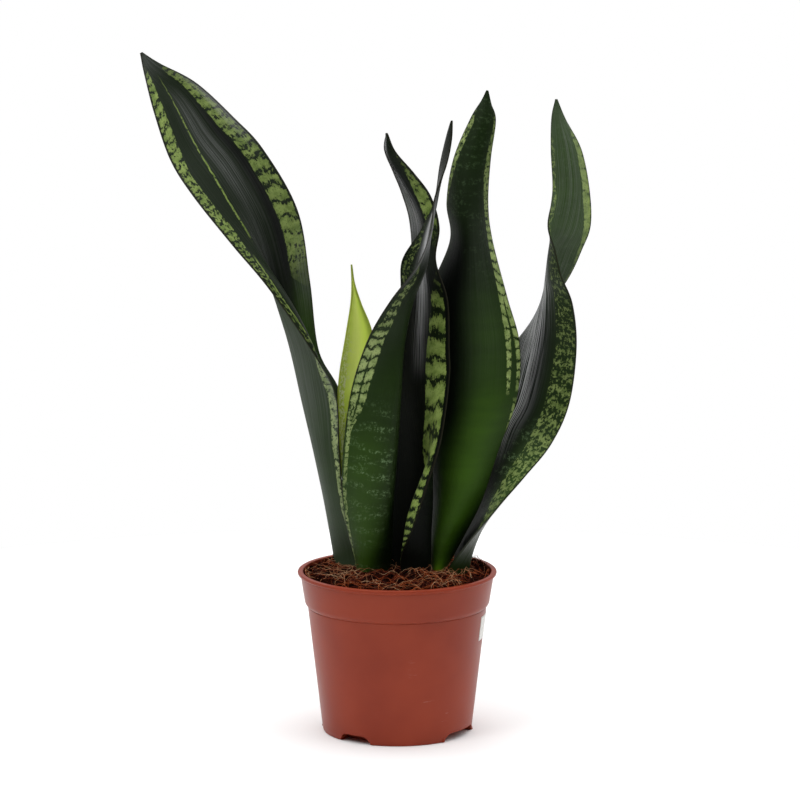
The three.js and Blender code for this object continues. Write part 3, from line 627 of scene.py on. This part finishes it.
def leaf_skin(name, colours):
    """Leaf skin laid out by distance from the margins and along the leaf, in mm."""
    p = Paint(name)
    tones = {key: linear(*colour) for key, colour in colours.items()}
    left, along, right = p.measures("lay")
    turn_left, turn_right, across = p.measures("turns")
    freshness, bloom_sheen_amount, flecked = p.measures("coat")
    shade, warm, streaky = p.measures("tint")
    lay = p.join(left, along)
    shown_left, dark_left = margin_band(p, "left", left, along, turn_left)
    shown_right, dark_right = margin_band(p, "right", right, along, turn_right)
    shown = p.math("MAXIMUM", shown_left, shown_right)
    dark = p.mixed(p.step(p.minus(left, right), -0.5, 0.5), dark_left, dark_right)

    tone = p.grain(p.stretch(lay, 0.16, 0.2), detail=3)
    light = p.blend(warm, tones["pale"], tones["olive"])
    light = p.blend(p.step(tone, 0.35, 0.7, 0.0, 0.55), light, tones["fresh"])
    lively = p.times(p.math("MINIMUM", freshness, 1.0), 0.8)
    banded = p.blend(dark, light, p.blend(lively, tones["mottle"], tones["fresh"]))
    colour = p.blend(shown, leaf_green(p, lay, tones, freshness, flecked, shade), banded)

    veins = p.join(p.times(across, PATTERN_WIDTH), along)
    fibres = p.grain(p.stretch(veins, 1.7, 0.012), detail=4, rough=0.65)
    broad = p.grain(p.stretch(veins, 0.3, 0.006), detail=2)
    streaks = p.times(p.step(fibres, 0.44, 0.57, 0.06, 1.3), p.step(broad, 0.35, 0.6, 0.6, 1.0))
    # Painted sheen, with some waxy bloom: the grey bloom_and_sheen colour laid over the skin, in
    # lengthwise streaks where streaky asks.
    bloom_sheen_cover = p.times(bloom_sheen_amount, p.mixed(streaky, 0.6, streaks))
    colour = p.blend(p.math("MINIMUM", bloom_sheen_cover, 0.9), colour, tones["bloom_and_sheen"])
    colour = p.blend(pale_line(p, left, lay, tone), colour, light)
    rim = p.step(p.math("MINIMUM", left, right), 0.25, 0.7, 0.7, 0.0)
    colour = p.blend(rim, colour, tones["edge"])
    height = p.scale(p.times(dark, shown), -0.2, fibres)
    roughness = p.step(fibres, 0.3, 0.7, 0.4, 0.52)
    return p.finish(colour, roughness, height, 0.0002, Specular_IOR_Level=0.12)


def pot_plastic():
    p = Paint("pot_plastic")
    cloud = p.cloud(22, detail=3)
    colour = p.tone(cloud, 0.3, 0.7, (132, 45, 21), (144, 54, 29))
    scratch = p.cloud(1, 90, 90, 700, detail=3, rough=0.7)
    worn = p.step(p.times(scratch, p.cloud(30, detail=2)), 0.4, 0.47)
    colour = p.blend(p.times(worn, 0.22), colour, linear(186, 128, 116))
    roughness = p.step(cloud, 0.3, 0.7, 0.34, 0.42)
    return p.finish(colour, roughness, scratch, 0.00004, Specular_IOR_Level=0.24)


def soil_crumb():
    p = Paint("potting_mix")
    patch = p.cloud(160, detail=5, rough=0.7)
    colour = p.tone(patch, 0.35, 0.65, (12, 4, 3), (40, 13, 7))
    bits = p.cloud(900, detail=3)
    colour = p.blend(p.step(bits, 0.64, 0.72), colour, linear(112, 56, 34))
    height = p.cloud(500, detail=6, rough=0.7)
    return p.finish(colour, 0.95, height, 0.0012, Specular_IOR_Level=0.0)


def coir(name, dark, light):
    p = Paint(name)
    colour = p.tone(p.cloud(140), 0.35, 0.65, dark, light)
    return p.finish(colour, 0.7, p.cloud(2500), 0.0001, Specular_IOR_Level=0.1)


def rhizome_skin():
    p = Paint("rhizome_skin")
    colour = p.blend(p.cloud(90, detail=4), linear(120, 82, 40), linear(205, 160, 96))
    return p.finish(colour, 0.7, p.cloud(300, detail=4), 0.0005)


def label_paper():
    p = Paint("label_paper")
    fibre = p.cloud(700, detail=4)
    colour = p.tone(fibre, 0.3, 0.7, (214, 212, 206), (236, 235, 231))
    return p.finish(colour, 0.5, fibre, 0.00004)


def floor_paint():
    p = Paint("studio_floor")
    colour = p.blend(p.cloud(3.0), linear(244, 244, 244), linear(247, 247, 247))
    return p.finish(colour, 0.9, Specular_IOR_Level=0.0)


# ---- leaves ----
def rail_point(points, t):
    """A point of the smooth rail through the points, the same curve as the CAD leaf's."""
    place = t * (len(points) - 1)
    i = min(int(place), len(points) - 2)
    w = place - i
    start, end = points[i], points[i + 1]
    before = points[i - 1] if i else 2 * start - end
    after = points[i + 2] if i + 2 < len(points) else 2 * end - start
    leave = (end - before) / 2
    arrive = (after - start) / 2
    return (start * (2 * w ** 3 - 3 * w ** 2 + 1) + leave * (w ** 3 - 2 * w ** 2 + w)
            + end * (3 * w ** 2 - 2 * w ** 3) + arrive * (w ** 3 - w ** 2))


class Blade:
    """One leaf's middle surface, normal and thickness, in metres."""

    def __init__(self, leaf):
        self.leaf = leaf
        self.rails = [[Vector(p) * MM for p in leaf[side]] for side in ("left", "rib", "right")]
        self.rows = {}

    def row(self, t):
        t = min(max(t, 0), 1)
        if t not in self.rows:
            self.rows[t] = [rail_point(rail, t) for rail in self.rails]
        return self.rows[t]

    def curl(self, u, t):
        """How far the wing is drawn in: nothing at the rib and the margin, most between them."""
        wing, at, reach, depth = self.leaf.get("curl", NO_CURL)
        if u * wing <= 0:
            return 0
        return depth * MM * math.exp(-((t - at) / reach) ** 2) * CURL_SCALE * u * u * (1 - abs(u))

    def middle(self, u, t):
        left, rib, right = self.row(t)
        belly = (left + right) / 2 - rib
        drawn_in = Vector((math.copysign(self.curl(u, t), u), 0, 0))
        return rib + (right - left) * (u / 2) + belly * abs(u) ** self.leaf["fold"] - drawn_in

    def normal(self, u, t):
        across = self.middle(u + 0.01, t) - self.middle(u - 0.01, t)
        along = self.middle(u, t + 0.01 if t < 1 else 1) - self.middle(u, t - 0.01 if t > 0 else 0)
        return across.cross(along).normalized()

    def thickness(self, u, t):
        foot, middle, tip = self.leaf["thick"]
        core = lerp(middle, foot, max(1 - 4 * t, 0))
        slim = lerp(core, tip, smoothstep(t, 0.4, 1))
        return (LEAF_EDGE + (slim - LEAF_EDGE) * (1 - u * u)) * MM


def stroked(strokes, u, t):
    """How much of the strokes lies at u, t."""
    total = 0
    for middle, reach, start, end, strength in strokes:
        beside = 1 if reach >= ALL else math.exp(-((u - middle) / reach) ** 2)
        soft = STROKE_SOFTNESS if start > 0 or end < 1 else 1e-6
        total += strength * beside * smoothstep(t, start - soft, start + soft) * (
            1 - smoothstep(t, end - soft, end + soft))
    return total


def grid_face(bm, place):
    """A grid of leaf rows and columns laid out by place(across, along), both 0 to 1."""
    made = bmesh.ops.create_grid(bm, x_segments=LEAF_COLUMNS, y_segments=LEAF_ROWS, size=0.5)
    spots = {vert: (vert.co.x + 0.5, vert.co.y + 0.5) for vert in made["verts"]}
    for vert, (across, along) in spots.items():
        vert.co = place(across, along)
    return spots


LAYERS = ("lay", "turns", "left_band", "left_look", "right_band", "right_look", "coat", "line",
          "tint")
COATS = ("fresh", "bloom_and_sheen", "flecks")


def mm_along(points):
    """How many mm lie behind each of the points in turn."""
    run = [0.0]
    for a, b in zip(points, points[1:]):
        run.append(run[-1] + (b - a).length / MM)
    return run


def arc_lengths(blade):
    """The mm run along the rib at each row, and across the leaf at each row's columns."""
    rows = [row / LEAF_ROWS for row in range(LEAF_ROWS + 1)]
    columns = [2 * column / LEAF_COLUMNS - 1 for column in range(LEAF_COLUMNS + 1)]
    run = mm_along([blade.middle(0, t) for t in rows])
    return run, [mm_along([blade.middle(u, t) for u in columns]) for t in rows]


def cell_phases(band, run):
    """How many cells of the band have passed at each row."""
    phases = [0.0]
    for row in range(1, LEAF_ROWS + 1):
        length = keyed(band, row / LEAF_ROWS)[2]
        phases.append(phases[-1] + (run[row] - run[row - 1]) / length)
    return phases


def mark_face(spots, layers, marks, run, spreads, offset):
    """Lays the markings' measures on the vertices of one face of a leaf."""
    phases = {margin: cell_phases(marks[margin], run) for margin in ("left", "right")}
    for vert, (across, along) in spots.items():
        row = round(along * LEAF_ROWS)
        spread = spreads[row]
        reach = spread[round(across * LEAF_COLUMNS)]
        u = 2 * across - 1
        vert[layers["lay"]] = (reach, run[row] + offset, spread[-1] - reach)
        turns = []
        for margin, inward, start in (("left", reach, 0), ("right", spread[-1] - reach, 0.5)):
            width, hem, length, dark, jumble, strength = keyed(marks[margin], along)
            gap = keyed(marks.get(margin + "_split", NO_SPLIT), along)[0]
            turn = offset + start - CELL_LEAN * inward / length
            turns.append(phases[margin][row] + turn)
            vert[layers[margin + "_band"]] = (width, hem, dark)
            vert[layers[margin + "_look"]] = (gap, jumble, strength)
        vert[layers["turns"]] = (*turns, u)
        # The coat holds the fresh strokes, the painted sheen with some waxy bloom, and the flecks.
        vert[layers["coat"]] = [stroked(marks.get(part, ()), u, along) for part in COATS]
        vert[layers["line"]] = keyed(marks.get("line", NO_LINE), along)
        # Painted shade: how far the green is darkened towards the shadow colour.
        shade = min(stroked(marks.get("shade", ()), u, along), 0.95)
        vert[layers["tint"]] = (shade, marks["warm"], marks["streaky"])


def leaf_piece(index, name, skin):
    """The two faces of a leaf as grids, joined by a rounded margin."""
    blade = Blade(LEAVES[name])
    run, spreads = arc_lengths(blade)
    bm = bmesh.new()
    layers = {key: bm.verts.layers.float_vector.new(key) for key in LAYERS}
    border = set()
    for side, facing in ((1, "inner"), (-1, "outer")):
        def place(across, along):
            u = 2 * across - 1
            lift = blade.normal(u, along) * (side * blade.thickness(u, along) / 2)
            return blade.middle(u, along) + lift

        spots = grid_face(bm, place)
        offset = PATTERN_SHIFT * (2 * index + (side < 0))
        mark_face(spots, layers, MARKINGS[name, facing], run, spreads, offset)
        faces = {face for vert in spots for face in vert.link_faces}
        if side < 0:
            bmesh.ops.reverse_faces(bm, faces=list(faces))
        border |= {edge for face in faces for edge in face.edges if edge.is_boundary}
    bmesh.ops.bridge_loops(bm, edges=list(border))
    bmesh.ops.recalc_face_normals(bm, faces=bm.faces)
    bmesh.ops.bevel(bm, geom=list(border), offset=MARGIN_ROUND * MM, segments=2, profile=0.5,
                    affect="EDGES", material=-1, offset_type="OFFSET", clamp_overlap=True)
    return new_object(name + "_skin", bm, [skin])


# ---- pot ----
def wall_radius(z):
    return lerp(FOOT_RADIUS, STEP_RADIUS, z / STEP_Z)


def spun(profile, sides):
    """A profile of (radius, z) points in mm, spun about the Z axis and closed."""
    bm = bmesh.new()
    verts = [bm.verts.new((radius * MM, 0, z * MM)) for radius, z in profile]
    edges = [bm.edges.new(pair) for pair in zip(verts, verts[1:])]
    bmesh.ops.spin(bm, geom=verts + edges, cent=(0, 0, 0), axis=(0, 0, 1), angle=2 * math.pi,
                   steps=sides, use_merge=True)
    bmesh.ops.remove_doubles(bm, verts=bm.verts, dist=1e-6)
    bmesh.ops.recalc_face_normals(bm, faces=bm.faces)
    return bm


def about(radius, z, *moves):
    """Points of a profile, each a small move out and up from the corner (radius, z)."""
    return [(radius + out, z + up) for out, up in moves]


def pot_profile():
    """The pot's section as (radius, z) points in mm: out along the foot, up the wall and back inside."""
    band_top = POT_HEIGHT - LIP_HEIGHT
    band = [(lerp(BAND_FOOT_RADIUS, BAND_TOP_RADIUS, share), lerp(BAND_FOOT_Z, band_top - 1, share))
            for share in (0.05, 0.35, 0.65, 0.95, 1)]
    return [
        (0, 0), (20, 0),
        *about(FOOT_RADIUS, 0, (-2, 0), (-FOOT_CHAMFER, 0), (-0.3, 0.3), (0, FOOT_CHAMFER)),
        *[(wall_radius(z), z) for z in range(4, STEP_Z - 1, 4)],
        *about(STEP_RADIUS, STEP_Z, (-0.08, -0.6), (-0.2, -0.35), (-0.15, -0.1), (0.2, 0.1), (0.7, 0.5)),
        *about(BAND_FOOT_RADIUS, STEP_Z, (-0.6, 1.2), (-0.2, 2.1)), (BAND_FOOT_RADIUS, BAND_FOOT_Z),
        *band, *about(RIM_RADIUS, band_top, (-0.7, -0.1), (-0.15, 0.2), (0, LIP_HEIGHT / 2)),
        *about(RIM_RADIUS, POT_HEIGHT, (-0.15, -0.3), (-0.5, 0)),
        *about(BAND_TOP_RADIUS - WALL, POT_HEIGHT, (0.3, 0), (0, -0.3)),
        (BAND_FOOT_RADIUS - WALL, BAND_FOOT_Z), (STEP_RADIUS - WALL, STEP_Z),
        (wall_radius(2 * WALL) - WALL, 2 * WALL), (wall_radius(WALL) - WALL - 1, WALL), (0, WALL),
    ]


def pot_piece(plastic):
    """The spun shell, with its drain pockets joined to it and its drains and holes cut out."""
    pot = new_object("pot_shell", spun(pot_profile(), POT_SIDES), [plastic])
    depth = FOOT_RADIUS - DRAIN_DEPTH
    carve(pot, "UNION", [drain_block(drain, WALL, depth - WALL, FOOT_RADIUS - 3) for drain in DRAINS])
    carve(pot, "DIFFERENCE", [drain_block(drain, 0, depth, FOOT_RADIUS + 5) for drain in DRAINS])
    carve(pot, "DIFFERENCE", [drain_hole(angle) for angle, _ in DRAINS])
    for polygon in pot.data.polygons:
        polygon.use_smooth = True
    pot.data.set_sharp_from_angle(angle=math.radians(SHARP_ANGLE))
    return pot


def drain_block(drain, grow, inner, outer):
    """A drain's arch as a block that runs radially between two radii, in mm."""
    angle, width = drain
    half = width / 2 + grow
    height = DRAIN_HEIGHT + grow
    bm = bmesh.new()
    foot = 0.4 if grow else -1.0  # a pocket starts inside the floor, a drain below it
    bends = [(half - DRAIN_SHOULDER * s * (0.4 + 0.6 * s), height * smoothstep(s, -0.3, 1))
             for s in [i / 6 for i in range(7)]]
    outline = [(-half, foot), (half, foot), *bends, *[(-x, z) for x, z in reversed(bends)]]
    verts = [bm.verts.new((x * MM, -inner * MM, z * MM)) for x, z in outline]
    face = bm.faces.new(verts)
    moved = bmesh.ops.extrude_face_region(bm, geom=[face])["geom"]
    far = [item for item in moved if isinstance(item, bmesh.types.BMVert)]
    bmesh.ops.translate(bm, verts=far, vec=(0, (inner - outer) * MM, 0))
    bmesh.ops.remove_doubles(bm, verts=bm.verts, dist=1e-6)
    bmesh.ops.recalc_face_normals(bm, faces=bm.faces)
    turn = Matrix.Rotation(math.radians(angle), 3, "Z")
    bmesh.ops.rotate(bm, verts=bm.verts, cent=(0, 0, 0), matrix=turn)
    return new_object("drain", bm, [])


def drain_hole(angle):
    bm = bmesh.new()
    spot = Matrix.Rotation(math.radians(angle), 4, "Z") @ Matrix.Translation(
        Vector((0, -(FOOT_RADIUS - DRAIN_DEPTH / 2), DRAIN_HEIGHT + WALL)) * MM)
    radius = DRAIN_HOLE_RADIUS * MM
    bmesh.ops.create_cone(bm, cap_ends=True, segments=24, radius1=radius, radius2=radius,
                          depth=4 * WALL * MM, matrix=spot)
    return new_object("drain_hole", bm, [])


def carve(thing, operation, tools):
    """Joins the tools to a mesh or cuts them out of it, for good."""
    for tool in tools:
        cut = thing.modifiers.new("carve", "BOOLEAN")
        cut.operation = operation
        cut.solver = "EXACT"
        cut.object = tool
    depsgraph = bpy.context.evaluated_depsgraph_get()
    carved = bpy.data.meshes.new_from_object(thing.evaluated_get(depsgraph))
    thing.modifiers.clear()
    thing.data = carved
    for tool in tools:
        bpy.data.objects.remove(tool)


def soil_height(x, y):
    """The height of the mix in mm, lumpy, with the mounds of the CAD solid."""
    ripple = math.sin(x * 0.31 + 1.3) * math.cos(y * 0.27) + math.sin((x + y) * 0.19) * 0.6
    height = SOIL_TOP + SOIL_LUMP * ripple
    for (at_x, at_y), rise, spread in SOIL_MOUNDS:
        away = math.hypot(x - at_x, y - at_y) / spread
        height += rise * math.exp(-away * away)
    crumbs = noise.fractal(Vector((x, y, 0)) * 0.35, 0.8, 2.0, 4)
    return height + SOIL_GRAIN * crumbs


def soil_piece(mix):
    """The body of the mix with a fine lumpy top."""
    rings = [SOIL_EDGE - 0.2, *[SOIL_EDGE - SOIL_RING_GAP * i for i in range(1, 46)]]
    profile = [
        (0, SOIL_FLOOR), (40, SOIL_FLOOR), (50, STEP_Z), (SOIL_EDGE - 1.4, 82),
        (SOIL_EDGE, SOIL_TOP - 1.5), *[(ring, SOIL_TOP) for ring in rings], (0, SOIL_TOP),
    ]
    bm = spun(profile, SOIL_SIDES)
    for vert in bm.verts:
        if vert.co.z > (SOIL_TOP - 1) * MM:
            vert.co.z = soil_height(vert.co.x / MM, vert.co.y / MM) * MM
    return new_object("soil_body", bm, [mix])


def random_spot(rng, reach):
    """A place on the mix within the reach, and its angle."""
    radius = math.sqrt(rng.random()) * reach
    angle = rng.random() * 2 * math.pi
    return radius * math.cos(angle), radius * math.sin(angle), angle


def crumb_piece(mix):
    """Loose crumbs of mix, each a small knocked ball."""
    rng = random.Random(CRUMB_SEED)
    bm = bmesh.new()
    for _ in range(CRUMBS):
        x, y, _ = random_spot(rng, CRUMB_REACH)
        size = rng.uniform(*CRUMB_SIZES)
        spot = Matrix.Translation((x * MM, y * MM, (soil_height(x, y) + size * 0.2) * MM))
        turn = Matrix.Rotation(rng.random() * 6.28, 4, (rng.random(), rng.random(), 1))
        girth = [rng.uniform(*span) for span in CRUMB_GIRTHS]
        shape = spot @ turn @ Matrix.Diagonal((*girth, 1))
        made = bmesh.ops.create_icosphere(bm, subdivisions=1, radius=size * MM, matrix=shape)
        for vert in made["verts"]:
            knock = Vector([rng.uniform(-1, 1) for _ in range(3)])
            vert.co += knock * (0.25 * size * MM)
    return new_object("soil_crumbs", bm, [mix], smooth=False)


def fibre_line(rng, length, lift):
    """The points of one curling fibre that starts and ends on the mix, in metres."""
    x, y, angle = random_spot(rng, FIBRE_START)
    heading = rng.random() * 2 * math.pi
    curl = rng.uniform(-FIBRE_CURL, FIBRE_CURL)
    steps = min(max(6, int(length / FIBRE_STEP)), 16)
    points = []
    for i in range(steps + 1):
        share = i / steps
        arch = math.sin(math.pi * share) * lift * (0.6 + 0.4 * math.sin(5 * share + angle))
        points.append((x, y, soil_height(x, y) + 0.15 + arch))
        heading += curl + rng.uniform(-FIBRE_WANDER, FIBRE_WANDER)
        x += math.cos(heading) * length / steps
        y += math.sin(heading) * length / steps
        reach = math.hypot(x, y)
        if reach > FIBRE_REACH:
            x, y = x * FIBRE_REACH / reach, y * FIBRE_REACH / reach
    return [Vector(point) * MM for point in points]


def fibre_piece(name, material, seed, count, lengths, lifts, thick):
    """Many coir fibres as one mesh, from tapering curves."""
    rng = random.Random(seed)
    curve = bpy.data.curves.new(name, "CURVE")
    curve.dimensions = "3D"
    curve.bevel_depth = thick * MM / 2
    curve.bevel_resolution = 0
    curve.use_fill_caps = True
    for _ in range(count):
        points = fibre_line(rng, rng.uniform(*lengths), rng.uniform(*lifts))
        spline = curve.splines.new("POLY")
        spline.points.add(len(points) - 1)
        for i, (point, spot) in enumerate(zip(spline.points, points)):
            share = i / (len(points) - 1)
            point.co = (*spot, 1)
            point.radius = 1 - 0.7 * abs(2 * share - 1) ** 3
    holder = bpy.data.objects.new(name + "_curve", curve)
    mesh = bpy.data.meshes.new_from_object(holder)
    mesh.name = name
    mesh.materials.clear()
    mesh.materials.append(material)
    bpy.data.objects.remove(holder)
    return placed(name, mesh)


def label_piece(paper):
    """The blank label, bent round the wall."""
    bm = bmesh.new()
    made = bmesh.ops.create_grid(bm, x_segments=24, y_segments=10, size=0.5)
    for vert in made["verts"]:
        angle = math.radians(lerp(*LABEL_ANGLES, vert.co.x + 0.5))
        z = lerp(*LABEL_HEIGHTS, vert.co.y + 0.5)
        radius = wall_radius(z) + LABEL_LIFT
        vert.co = Vector((radius * math.sin(angle), -radius * math.cos(angle), z)) * MM
    bmesh.ops.recalc_face_normals(bm, faces=bm.faces)
    bmesh.ops.solidify(bm, geom=bm.faces[:], thickness=-LABEL_THICKNESS * MM)
    bmesh.ops.recalc_face_normals(bm, faces=bm.faces)
    return new_object("label_sheet", bm, [paper])


# ---- the plant ----
def build_plant():
    dark_leaf = leaf_skin("leaf_skin", DARK_LEAF)
    young_leaf = leaf_skin("young_leaf_skin", YOUNG_LEAF)
    for index, name in enumerate(LEAVES):
        young = name == "leaf_young"
        piece = leaf_piece(index, name, young_leaf if young else dark_leaf)
        dress(piece, "young_leaf" if young else "leaf", name)
    mix = soil_crumb()
    dress(pot_piece(pot_plastic()), "pot_plastic", "pot")
    dress(soil_piece(mix), "potting_mix", "potting_soil")
    dress(crumb_piece(mix), "potting_mix")
    for name, dark, light, *layout in COIR:
        dress(fibre_piece(name, coir(name, dark, light), *layout), "potting_mix")
    dress(label_piece(label_paper()), "label_paper", "blank_label")
    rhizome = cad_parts["rhizome"]
    rhizome.data.materials.clear()
    rhizome.data.materials.append(rhizome_skin())


# ---- studio ----
def build_studio():
    camera = placed("camera", bpy.data.cameras.new("camera"))
    camera.data.lens = CAMERA_LENS
    camera.data.sensor_width = 36
    camera.location = CAMERA_PLACE
    camera.rotation_euler = aimed(CAMERA_PLACE, CAMERA_AIM)
    bpy.context.scene.camera = camera

    bm = bmesh.new()
    bmesh.ops.create_circle(bm, cap_ends=True, segments=96, radius=FLOOR_RADIUS)
    floor = new_object("studio_floor", bm, [floor_paint()])
    studio_world()
    for lamp in LAMPS:
        soft_light(*lamp)


def aimed(place, target):
    return (Vector(target) - Vector(place)).to_track_quat("-Z", "Y").to_euler()


def soft_light(name, place, power):
    lamp = bpy.data.lights.new(name, "AREA")
    lamp.shape = "DISK"
    lamp.size = LAMP_SIZE
    lamp.energy = power
    thing = placed(name, lamp)
    thing.location = place
    thing.rotation_euler = aimed(place, LAMP_AIM)


def studio_world():
    """A white room that lights the plant from overhead and behind, and less from the front."""
    world = bpy.data.worlds.new("studio")
    room = Nodes(world)
    way = room.split(room.node("TexCoord").outputs["Generated"])
    back = room.step(way[1], -0.3, 0.7, 0.08, 0.55)
    top = room.step(way[2], 0.45, 0.85, 0.0, 1.8)
    strength = room.math("ADD", back, top)
    seen = room.node("LightPath").outputs["Is Camera Ray"]
    strength = room.mixed(seen, strength, 1.0)
    light = room.node("Background", {"Color": (1, 1, 1, 1), "Strength": strength})
    room.node("OutputWorld", {"Surface": light.outputs[0]})
    bpy.context.scene.world = world
    bpy.context.scene.view_settings.view_transform = "Standard"


build_studio()
build_plant()
